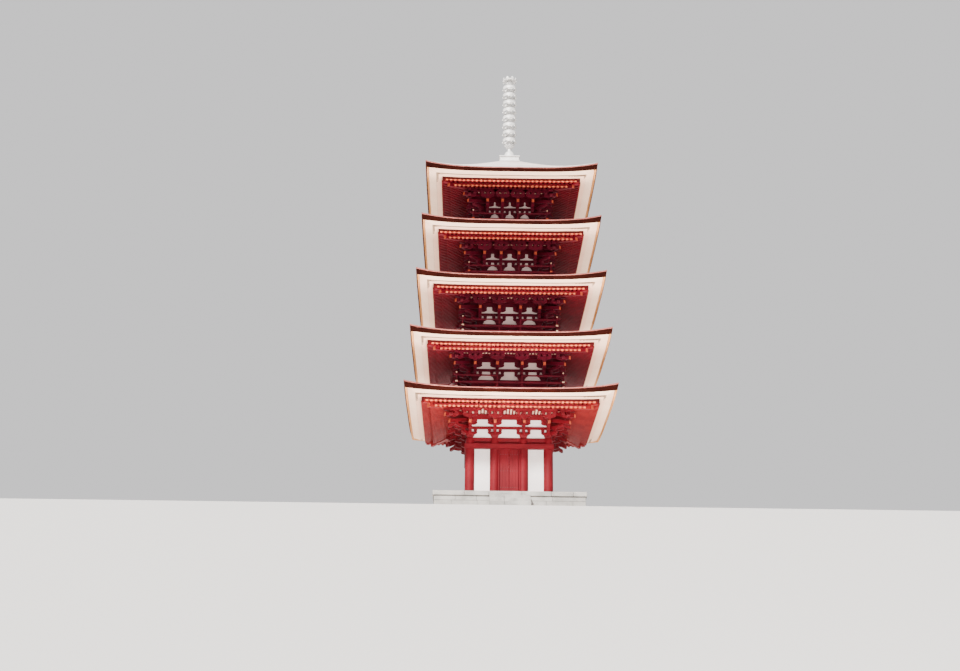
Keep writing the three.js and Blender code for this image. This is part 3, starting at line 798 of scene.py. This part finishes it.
def add_eave_ceiling(shape, storey):
    """The small white ceiling between the wall and the eave purlin, with its red ribs."""
    c = CORNER_POST[storey]
    z = POST_TOP[storey]
    near, far = CEILING_OUT
    half = CEILING["rib"] / 2
    count = int((c + far) / CEILING["pitch"]) + 1
    for i in range(-count, count + 1):
        x = i * CEILING["pitch"]
        inner = max(near, abs(x) - c)
        if inner > far - half:
            continue
        top = z + CEILING["board"] + RIB_SUNK
        shape.box(x - half, x + half, -c - far, -c - inner, z + CEILING["rib_bottom"], top)
    outline = [(-c - near, -c - near), (c + near, -c - near), (c + far, -c - far), (-c - far, -c - far)]
    ends = [[(x, y, z + CEILING[level]) for x, y in outline] for level in ("board", "top")]
    shape.solid(*ends, finish="white")


def purlin_ends(shape, storey):
    """The purlins cross at the corners and show their ends."""
    c = CORNER_POST[storey]
    end = [(-c - out, POST_TOP[storey] + z) for out, z in corners(*PURLIN_END)]
    for sign in (-1, 1):
        places = (sign * (c + PURLIN_OUT), sign * (c + PURLIN_OUT + PURLIN_PAST))
        shape.solid(*[[(x, y, z) for y, z in end] for x in places])


def make_brackets(storey):
    c = CORNER_POST[storey]
    b = INNER_POST[storey]
    z = POST_TOP[storey]
    # the upper storeys take the shaded red: painted shade
    shape = Shape(MAIN_FINISH[storey])
    arm = min(ARM, (c - b) / 2 - ARM_CLEARANCE, b - ARM_CLEARANCE)

    def one_side():
        for x in (-c, -b, b, c):
            with shape.placed(moved(x, -c, z)):
                wall_set(shape, SHORT_ARM if x == -c else arm, SHORT_ARM if x == c else arm)
                step_set(shape, 1.0, TAIL["end"])
                purlin_set(shape, arm, BEARING_REACH[storey])
        with shape.placed(moved(c, -c, z), spun(QUARTER / 2)):
            diagonal = math.sqrt(2)
            step_set(shape, diagonal, DIAGONAL_TAIL["lower_end"])
            end = DIAGONAL_TAIL["upper_end"] * diagonal
            add_tail(shape, end, DIAGONAL_TAIL["upper_height"], TAIL["slope"] / diagonal)
        corner_sets(shape, storey)
        add_eave_ceiling(shape, storey)
        purlin_ends(shape, storey)

    shape.around(SIDES, one_side)
    shape.frames(c, z, BEAMS)
    # timbers that stand in for the shade on the inner part of the ceiling: painted shade
    if storey > 1:
        shape.frames(c, z, CEILING_SHADE_BEAMS)
    shape.object(f"storey_{storey}_brackets", f"brackets_{storey}", slot="red_paint", bevel=0.003)


# Posts and rails

PODIUM_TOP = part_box("podium_coping")[1][2]
SILL_TOP = PODIUM_TOP + 0.16
LINTEL = (POST_TOP[1] - 0.36, POST_TOP[1] - 0.205)
RAIL_IN = 0.018
RAIL_OUT = 0.175
TENON = 0.01
# the tie beam between the posts, its depth and how far out it stands, and the wall set back under it
TIE = {"depth": 0.118, "out": 0.075, "recess": 0.03}
# how far under the top of a post, and the share of its radius there
FIRST_HEAD = ((0.3, 1.0), (0.12, 0.97), (0.03, 0.86), (0.0, 0.78))
UPPER_HEAD = ((0.12, 1.0), (0.03, 0.86), (0.0, 0.8))
UPPER_RAILS = ((SKIRT_OUT, -0.48, -0.215), (0.04, -0.22, -0.14), (0.07, -0.15, 0.0))
# the jamb of a door and the stop behind the edge of its leaf, clear of its swing: from and to which x, and
# how far out
JAMB = (0.306, 0.345, 0.13)
DOOR_STOP = (0.264, 0.308, 0.042)


def post_places(storey):
    """Three of the four posts of a side. The fourth is the first one of the next side."""
    c = CORNER_POST[storey]
    b = INNER_POST[storey]
    return [(-c, -c), (-b, -c), (b, -c)]


def add_posts(shape, storey, foot, head, sides):
    r = POST_RADIUS[storey]
    top = POST_TOP[storey]
    profile = [(0, foot), (r, foot), *[(r * share, top - under) for under, share in head], (0, top)]
    for x, y in post_places(storey):
        with shape.placed(moved(x, y, 0)):
            shape.turned(profile, sides)


def make_first_posts():
    c = CORNER_POST[1]
    top = POST_TOP[1]
    shape = Shape(MAIN_FINISH[1])

    def one_side():
        add_posts(shape, 1, PODIUM_TOP, FIRST_HEAD, 40)
        for sign in (-1, 1):
            for near, far, out in (JAMB, DOOR_STOP):
                x0, x1 = sorted((sign * near, sign * far))
                shape.box(x0, x1, -c - out, -c - WALL_OUT, SILL_TOP - TENON, LINTEL[0] + TENON)

    shape.around(SIDES, one_side)
    rails = (
        (RAIL_OUT, PODIUM_TOP, SILL_TOP),
        (RAIL_OUT, *LINTEL),
        (TIE["out"], top - TIE["depth"], top),
        (TIE["recess"], LINTEL[1] - TENON, top - TIE["depth"] + TENON),
    )
    shape.frames(c, 0, [(RAIL_IN, *rail) for rail in rails])
    shape.object("storey_1_posts", "posts_1", slot="red_paint", bevel=0.005)


def make_upper_posts(storey):
    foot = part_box(f"posts_{storey}")[0][2]
    shape = Shape(MAIN_FINISH[storey])
    shape.around(SIDES, lambda: add_posts(shape, storey, foot, UPPER_HEAD, 32))
    rails = [(RAIL_IN, *rail) for rail in UPPER_RAILS]
    shape.frames(CORNER_POST[storey], POST_TOP[storey], rails)
    shape.object(f"storey_{storey}_posts", f"posts_{storey}", slot="red_paint", bevel=0.004)


# Railings

RAILING_OUT = {2: 0.585, 3: 0.55, 4: 0.505, 5: 0.47}
RAIL_END = 0.12
TOP_RAIL = {"radius": 0.025, "lift": 0.06}
RAIL_SIDES = 10
RAIL_STEPS = 14
# from and to which height, from the top or the foot of the railing, and the half width
MIDDLE_RAIL = (-0.255, -0.205, 0.038)
FOOT_RAIL = (0.0, 0.05, 0.028)
BALUSTER_HALF = 0.02
LAST_PALE_ENDS = 3  # the storey up to which the lower rails have pale ends


def top_rail(shape, x0, x1, line, z):
    """A round rail along the front whose outer end, at x1, turns up."""
    radius = TOP_RAIL["radius"]
    turns = [2 * math.pi * k / RAIL_SIDES for k in range(RAIL_SIDES)]
    loops = []
    for i in range(RAIL_STEPS + 1):
        x = x0 + (x1 - x0) * (i / RAIL_STEPS)
        past = max(0.0, abs(x) - line) / (abs(x1) - line)
        centre = z + TOP_RAIL["lift"] * past * past
        loops.append([(x, -line + radius * math.cos(a), centre + radius * math.sin(a)) for a in turns])
    shape.solid(*loops, high_finish="pale_end")


def make_railing(storey):
    b = INNER_POST[storey]
    top = POST_TOP[storey]
    line = CORNER_POST[storey] + RAILING_OUT[storey]
    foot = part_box(f"railing_{storey}")[0][2]
    end = line + RAIL_END
    w = BALUSTER_HALF
    shape = Shape(MAIN_FINISH[storey])
    end_finish = "pale_end" if storey <= LAST_PALE_ENDS else "orange"

    def one_side():
        for sign in (-1, 1):
            top_rail(shape, sign * (b - w), sign * end, line, top)
            for x in (sign * b, sign * line):
                shape.box(x - w, x + w, -line - w, -line + w, foot, top)
        for base, (z0, z1, half) in ((top, MIDDLE_RAIL), (foot, FOOT_RAIL)):
            ends = [sideways(x, -line - half, -line + half, base + z0, base + z1) for x in (-end, end)]
            shape.solid(*ends, low_finish=end_finish, high_finish=end_finish)

    shape.around(SIDES, one_side)
    shape.object(f"storey_{storey}_railing", f"railing_{storey}", slot="red_paint")


# Doors

DOOR_BACK = -CORNER_POST[1] - 0.062
DOOR_FACE = -CORNER_POST[1] - 0.098
LEAF_CLEARANCE = 0.005
LEAF_INSET = 0.002
PLANKS = 3
SEAM = 0.0012
PLANKS_FRONT = DOOR_FACE + 0.006
PLANKS_BACK = DOOR_BACK - 0.008
BACK_BOARD = (DOOR_BACK - 0.01, DOOR_BACK - 0.004)  # closes the seams between the planks
BATTENS_AT = (0.12, 0.5, 0.88)
BATTEN_SIZE = {"half": 0.04, "inset": 0.006, "depth": 0.01}
NAIL = [(0, 0), (0.011, 0), (0.009, 0.004), (0.004, 0.006), (0, 0.006)]
NAILS = 4
NAIL_SIDES = 12
MEETING_STRIP = {"width": 0.012, "depth": 0.01}
HINGE = {"x": 0.275, "out": 0.08, "radius": 0.014, "sides": 16}
CLOSED_DOOR = {"edge": 0.3055, "inset": 0.001, "middle": 0.002}


def door_boards(shape, x0, x1, z0, z1):
    """Upright planks, with battens behind them and a row of nails in front of each batten."""
    width = (x1 - x0) / PLANKS
    for i in range(PLANKS):
        low = x0 + i * width + SEAM
        shape.box(low, low + width - 2 * SEAM, PLANKS_FRONT, PLANKS_BACK, z0, z1)
    inset = BATTEN_SIZE["inset"]
    half = BATTEN_SIZE["half"]
    for share in BATTENS_AT:
        z = z0 + (z1 - z0) * share
        shape.box(x0 + inset, x1 - inset, DOOR_BACK - BATTEN_SIZE["depth"], DOOR_BACK, z - half, z + half)
        for k in range(NAILS):
            x = x0 + (x1 - x0) * (k + 0.5) / NAILS
            with shape.placed(moved(x, PLANKS_FRONT, z), spun(QUARTER, "X")):
                shape.turned(NAIL, NAIL_SIDES, "iron")


def make_leaf(sign, name, node, body):
    low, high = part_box(node)
    x0, x1 = low[0], high[0]
    z0 = SILL_TOP + LEAF_CLEARANCE
    z1 = LINTEL[0] - LEAF_CLEARANCE
    inset = LEAF_INSET
    shape = Shape("red")
    shape.box(x0 + inset, x1 - inset, *BACK_BOARD, z0 + inset, z1 - inset)
    door_boards(shape, x0, x1, z0, z1)
    meeting = x1 if sign < 0 else x0
    strip = sorted((meeting, meeting + sign * MEETING_STRIP["width"]))
    shape.box(*strip, DOOR_FACE, DOOR_FACE + MEETING_STRIP["depth"], z0, z1)
    r = HINGE["radius"]
    with shape.placed(moved(sign * HINGE["x"], -CORNER_POST[1] - HINGE["out"], 0)):
        shape.turned([(0, low[2]), (r, low[2]), (r, high[2]), (0, high[2])], HINGE["sides"])
    shape.object(name, node, body=body, slot="red_paint", bevel=0.002)


def make_closed_door(turn, name, node):
    edge = CLOSED_DOOR["edge"]
    inset = CLOSED_DOOR["inset"]
    z0 = SILL_TOP + inset
    z1 = LINTEL[0] - inset
    shape = Shape("red")
    with shape.placed(spun(turn * QUARTER)):
        shape.box(-edge + inset, edge - inset, *BACK_BOARD, z0, z1)
        for x0, x1 in ((-edge, -CLOSED_DOOR["middle"]), (CLOSED_DOOR["middle"], edge)):
            door_boards(shape, x0, x1, z0, z1)
    shape.object(name, node, slot="red_paint", bevel=0.002)


# Podium

PODIUM_CORE = 0.05
PODIUM_COURSES = (0.0, 0.16, 0.31)
COPING_WIDTH = 0.42
# the shortest and the longest stone of a row, and the shortest last one
PODIUM_STONES = (0.45, 0.85, 0.35)
COPING_STONES = (0.7, 1.0, 0.5)
STONE_DEPTH = 0.1
PROUD = 0.006
ROW_END = 0.01
STEPS = 3
STEP_STONES = (0.0, 0.44, 1.24)  # where the stones of a step begin and end, from its left edge
JOINT = 0.002
STEP_JOINT = 0.0015
POST_BASE = [(0, 0), (0.24, 0), (0.235, 0.02), (0.19, 0.035), (0, 0.035)]


def stones(draws, x, end, shortest, longest, shortest_last):
    """Where each stone of a row begins and ends."""
    while x < end - ROW_END:
        length = draws.uniform(shortest, longest)
        if end - (x + length) < shortest_last:
            length = end - x
        yield x + JOINT, x + length - JOINT
        x += length


def make_podium(draws):
    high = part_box("podium")[1]
    half = high[0]
    shape = Shape("stone")
    shape.taper(0, half - PODIUM_CORE, high[2], half - PODIUM_CORE)
    courses = [*PODIUM_COURSES, high[2]]

    def one_side():
        for z0, z1 in zip(courses, courses[1:]):
            for x0, x1 in stones(draws, -half, half, *PODIUM_STONES):
                face = -half + draws.uniform(0.0, PROUD)
                shape.box(x0, x1, face, -half + STONE_DEPTH, z0 + JOINT, z1 - JOINT / 2)

    shape.around(SIDES, one_side)
    shape.object("podium_stones", "podium", slot="stone", bevel=0.008)


def make_coping(draws):
    low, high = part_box("podium_coping")
    half = high[0]
    inner = half - COPING_WIDTH
    shape = Shape("stone")
    shape.taper(low[2], inner, high[2] - 2 * JOINT, inner)

    def one_side():
        for x0, x1 in stones(draws, -half, inner, *COPING_STONES):
            shape.box(x0, x1, -half, -inner - JOINT, low[2], high[2])

    shape.around(SIDES, one_side)
    shape.object("podium_coping_stones", "podium_coping", slot="stone", bevel=0.01)


def make_steps():
    low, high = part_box("front_steps")
    rise = high[2] / STEPS
    tread = (high[1] - low[1]) / STEPS
    shape = Shape("stone")
    for i in range(STEPS):
        for a, b in zip(STEP_STONES, STEP_STONES[1:]):
            x0 = low[0] + a + STEP_JOINT
            x1 = low[0] + b - STEP_JOINT
            shape.box(x0, x1, low[1] + i * tread, high[1], i * rise, (i + 1) * rise - JOINT)
    shape.object("front_step_stones", "front_steps", slot="stone", bevel=0.012)


def make_post_bases():
    shape = Shape("stone")

    def one_side():
        for x, y in post_places(1):
            with shape.placed(moved(x, y, PODIUM_TOP)):
                shape.turned(POST_BASE, 20)

    shape.around(SIDES, one_side)
    shape.object("post_base_stones", slot="stone")


# Spire

BASIN = {"plinth": 0.04, "wall": 0.03, "neck": 0.05, "lip": 0.03, "flare": 0.015}
# the dome, its neck and the bowl of the lotus
DOME = [(0, 0), (0.236, 0), (0.236, 0.03), (0.205, 0.045), (0.188, 0.09), (0.176, 0.14), (0.165, 0.18)]
DOME += [(0.148, 0.222), (0.12, 0.258), (0.086, 0.282), (0.06, 0.292), (0.055, 0.3), (0.055, 0.41)]
DOME += [(0.075, 0.43), (0.11, 0.46), (0.125, 0.49), (0, 0.49)]
LOTUS = {"petals": 8, "steps": 6, "foot": 0.415, "height": 0.115, "inner": 0.075, "reach": 0.092}
LOTUS_HALF_WIDTH = {"most": 0.062, "least": 0.004, "start": 0.25, "end": 0.999}
PETAL = {"bend": 0.012, "thickness": 0.012, "lean": 0.004}
RINGS = {"first": 13.444, "pitch": 0.29, "count": 8, "radius": 0.235, "thickness": 0.03, "half": 0.05}
RING_HOLLOW = 0.008
SLEEVE = [(0.09, -0.07), (0.112, -0.07), (0.106, 0), (0.112, 0.07), (0.09, 0.07)]
MAST_RADIUS = 0.098
SPOKE = {"count": 4, "start": 0.09, "past": 0.01, "half_width": 0.012, "half_height": 0.03}
BELL = [(0, 0), (0.004, 0), (0.006, -0.01), (0.013, -0.02), (0.017, -0.045), (0, -0.045)]
BELL_SIDES = 10
RING_BELLS = {"count": 8, "out": 0.004, "down": 0.03}
VASE = [(0, 0), (0.09, 0), (0.086, 0.014), (0.068, 0.024), (0.085, 0.044), (0.12, 0.075), (0.132, 0.11)]
VASE += [(0.128, 0.14), (0.105, 0.168), (0.072, 0.19), (0.055, 0.198), (0.06, 0.21), (0, 0.21)]
CANOPY = [(0, 0), (0.06, 0), (0.15, -0.004), (0.215, -0.018), (0.246, -0.015), (0.25, 0.018)]
CANOPY += [(0.2, 0.022), (0.13, 0.034), (0.07, 0.05), (0.04, 0.06), (0, 0.06)]
CANOPY_SIDES = 8
CANOPY_RIM = 0.02
CANOPY_PETAL = [(0.228, 0.0, 0.05), (0.242, 0.035, 0.048), (0.24, 0.07, 0.036), (0.222, 0.1, 0.014)]
CANOPY_BELL = (0.228, 0, -0.015)
JEWEL = [(0, 0), (0.035, 0), (0.036, 0.008), (0.026, 0.014), (0.044, 0.03), (0.05, 0.044), (0.044, 0.06)]
JEWEL += [(0.028, 0.074), (0.01, 0.084), (0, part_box("jewel")[1][2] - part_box("jewel")[0][2])]


def make_basin():
    low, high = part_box("dew_basin")
    half = high[0]
    plinth = low[2] + BASIN["plinth"]
    neck = high[2] - BASIN["neck"]
    lip = high[2] - BASIN["lip"]
    shape = Shape("bronze")
    shape.taper(low[2], half, plinth, half)
    shape.taper(plinth, half - BASIN["wall"], neck, half - BASIN["wall"])
    shape.taper(neck, half - BASIN["flare"], lip, half)
    shape.taper(lip, half, high[2], half)
    shape.object("spire_base", "dew_basin", slot="bronze", bevel=0.008)


def add_petal(shape, rows):
    """A curved petal that leans outwards. Each row is a radius, a height and a half width."""
    front = []
    back = []
    for radius, rise, width in rows:
        for x, bulge in ((-width, 0), (0, PETAL["bend"]), (width, 0)):
            front.append((x, -radius - bulge, rise))
            back.append((x, -radius - bulge + PETAL["thickness"], rise + PETAL["lean"]))
    n = len(front)
    faces = []
    for k in range(len(rows) - 1):
        for m in range(2):
            a = 3 * k + m
            faces.append((a, a + 1, a + 4, a + 3))
            faces.append((n + a, n + a + 3, n + a + 4, n + a + 1))
    last = 3 * (len(rows) - 1)
    rim = list(range(0, last + 1, 3)) + [last + 1] + list(range(last + 2, 1, -3)) + [1]
    for p, q in zip(rim, rim[1:] + rim[:1]):
        faces.append((p, q, n + q, n + p))
    shape.add(front + back, faces)


def lotus_row(share):
    """The radius, height and half width of a lotus petal, at a share of its height."""
    wide = LOTUS_HALF_WIDTH
    angle = math.pi * min(wide["end"], wide["start"] + (1 - wide["start"]) * share)
    radius = LOTUS["inner"] + LOTUS["reach"] * math.sin(share * QUARTER)
    return radius, LOTUS["foot"] + LOTUS["height"] * share, wide["most"] * math.sin(angle) + wide["least"]


def make_dome():
    shape = Shape("bronze")
    rows = [lotus_row(k / LOTUS["steps"]) for k in range(LOTUS["steps"] + 1)]
    with shape.placed(moved(0, 0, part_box("dome_and_lotus")[0][2])):
        shape.turned(DOME, 40)
        shape.around(LOTUS["petals"], lambda: add_petal(shape, rows))
    shape.object("spire_dome_and_lotus", "dome_and_lotus", slot="bronze")


def make_rings():
    low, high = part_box("mast_and_rings")
    radius = RINGS["radius"]
    inner = radius - RINGS["thickness"]
    half = RINGS["half"]
    ring = [(inner, -half), (radius, -half), (radius - RING_HOLLOW, 0), (radius, half), (inner, half)]
    w, h = SPOKE["half_width"], SPOKE["half_height"]
    shape = Shape("bronze")

    def spoke():
        shape.box(SPOKE["start"], inner + SPOKE["past"], -w, w, -h, h)

    def bell():
        with shape.placed(moved(radius + RING_BELLS["out"], 0, -RING_BELLS["down"])):
            shape.turned(BELL, BELL_SIDES)

    shape.turned([(0, low[2]), (MAST_RADIUS, low[2]), (MAST_RADIUS, high[2]), (0, high[2])], 24)
    for i in range(RINGS["count"]):
        with shape.placed(moved(0, 0, RINGS["first"] + RINGS["pitch"] * i)):
            shape.turned(ring, 48, offset=0.0)
            shape.turned(SLEEVE, 32, offset=0.0)
            shape.around(SPOKE["count"], spoke, 0.5)
            shape.around(RING_BELLS["count"], bell)
    shape.object("spire_mast_and_rings", "mast_and_rings", slot="bronze")


def make_turned(name, node, profile, sides):
    shape = Shape("bronze")
    with shape.placed(moved(0, 0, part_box(node)[0][2])):
        shape.turned(profile, sides)
    shape.object(name, node, slot="bronze")


def make_canopy():
    shape = Shape("bronze")

    def one_side():
        add_petal(shape, CANOPY_PETAL)
        with shape.placed(moved(*CANOPY_BELL)):
            shape.turned(BELL, BELL_SIDES)

    with shape.placed(moved(0, 0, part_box("canopy")[0][2] + CANOPY_RIM)):
        shape.turned(CANOPY, CANOPY_SIDES)
        shape.around(CANOPY_SIDES, one_side, 0.5)
    shape.object("spire_canopy", "canopy", slot="bronze")


# Stage

FLOOR_EDGE = -3.15
FLOOR_REACH = 90.0
FLOOR_FALL = 24
FLOOR_COLOUR = (0.5, 0.49, 0.475, 1)
FLOOR_ROUGHNESS = 0.9
CAMERA = {
    "place": (-1.279, -44.377, -8.544),
    "yaw": 0.0076017,
    "pitch": 0.323385,
    "roll": 0.011639,
    "focal_px": 1414.49,
    "frame_px": 960,
    "sensor": 36,
    "clip_end": 500,
}
# place, what the lamp points at, energy, size and colour
SUN = ((-14, -30, 34), (0, 0, 6), 13.0, 8, (1.0, 0.97, 0.94))
FRONT_LAMP = ((6, -30, -6), (0, 0, 7), 2900, 16, (1.0, 0.9, 0.86))
# lamps near the ground: place, size and energy
LOW_LAMPS = {
    "low_front": (0, -7.5, -1.2, 5, 2700),
    "low_right": (7.5, 0, 0.2, 5, 500),
    "low_back": (0, 7.5, 0.2, 5, 1200),
    "low_left": (-7.5, 0, 0.2, 5, 230),
    "near_front": (0, -5.4, -0.4, 3.4, 40),
    "near_right": (5.3, 0, 0.3, 3.4, 50),
    "near_back": (0, 5.3, 0.3, 3.4, 75),
    "near_left": (-5.3, 0, 0.3, 3.4, 50),
}
LOW_COLOUR = (1.0, 0.86, 0.79)
LOW_SPREAD = 120
# a low lamp points at a place this share as far out, and this much higher
LOW_AIM = (0.93, 3)
WORLD_COLOUR = (0.93, 0.92, 0.93, 1)


def make_stage():
    """Pale ground: level round the tower, and falling away towards the camera, which stands lower."""
    far = FLOOR_REACH
    drop = (far + FLOOR_EDGE) * math.tan(math.radians(FLOOR_FALL))
    points = [(-far, far, 0), (far, far, 0), (far, FLOOR_EDGE, 0), (-far, FLOOR_EDGE, 0)]
    points += [(far, -far, -drop), (-far, -far, -drop)]
    mesh = bpy.data.meshes.new("floor")
    mesh.from_pydata(points, [], [(3, 2, 1, 0), (5, 4, 2, 3)])
    look = Look("floor")
    look.shader.inputs["Base Color"].default_value = FLOOR_COLOUR
    look.shader.inputs["Roughness"].default_value = FLOOR_ROUGHNESS
    mesh.materials.append(look.material)
    ground = new_object("stage_floor", mesh)


def make_camera():
    data = bpy.data.cameras.new("camera")
    data.sensor_width = CAMERA["sensor"]
    data.sensor_fit = "HORIZONTAL"
    data.lens = CAMERA["focal_px"] / CAMERA["frame_px"] * CAMERA["sensor"]
    data.clip_end = CAMERA["clip_end"]
    camera = new_object("camera", data)
    turn = spun(-CAMERA["yaw"]) @ spun(QUARTER + CAMERA["pitch"], "X") @ spun(CAMERA["roll"])
    camera.matrix_world = moved(*CAMERA["place"]) @ turn
    bpy.context.scene.camera = camera


def add_light(name, kind, place, target, energy, size, colour, spread=180):
    data = bpy.data.lights.new(name, kind)
    data.energy = energy
    data.color = colour
    if kind == "AREA":
        data.shape = "DISK"
        data.size = size
        data.spread = math.radians(spread)
    else:
        data.angle = math.radians(size)
    light = new_object(name, data)
    light.location = place
    light.rotation_euler = (Vector(target) - Vector(place)).to_track_quat("-Z", "Y").to_euler()
    light.visible_camera = False


def make_lights():
    """A high sun, a broad lamp in front, and lamps near the ground that light the eaves from below."""
    add_light("key", "SUN", *SUN)
    add_light("front", "AREA", *FRONT_LAMP)
    share, up = LOW_AIM
    for name, (x, y, z, size, energy) in LOW_LAMPS.items():
        target = (x * share, y * share, z + up)
        add_light(name, "AREA", (x, y, z), target, energy, size, LOW_COLOUR, LOW_SPREAD)
    world = bpy.data.worlds.new("world")
    bpy.context.scene.world = world
    world.use_nodes = True
    world.node_tree.nodes["Background"].inputs["Color"].default_value = WORLD_COLOUR
    world.node_tree.nodes["Background"].inputs["Strength"].default_value = 1.0


def finish_node(node, finish):
    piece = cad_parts[node]
    piece.data.materials.clear()
    piece.data.materials.append(MATERIALS[finish])


make_camera()
make_stage()
make_lights()
make_first_posts()
for storey in STOREYS:
    if storey > 1:
        make_upper_posts(storey)
        make_railing(storey)
    # the upper walls take the pinker plaster: painted shade
    finish_node(f"wall_{storey}", "plaster" if storey == 1 else "pink_shaded_plaster")
    make_brackets(storey)
    make_rafters(storey)
    make_eave_boards(storey)
    make_bark(storey)
finish_node("floor", "wood")
finish_node("ceiling", "wood")
make_leaf(-1, "door_left", "door_leaf_left", "left_door_leaf")
make_leaf(1, "door_right", "door_leaf_right", "right_door_leaf")
make_closed_door(1, "door_east_planks", "door_east")
make_closed_door(2, "door_back_planks", "door_back")
make_closed_door(3, "door_west_planks", "door_west")
stone_draws = random.Random(SEED)
make_podium(stone_draws)
make_coping(stone_draws)
make_steps()
make_post_bases()
make_basin()
make_dome()
make_rings()
make_turned("spire_vase", "treasure_vase", VASE, 32)
make_canopy()
make_turned("spire_jewel", "jewel", JEWEL, 24)
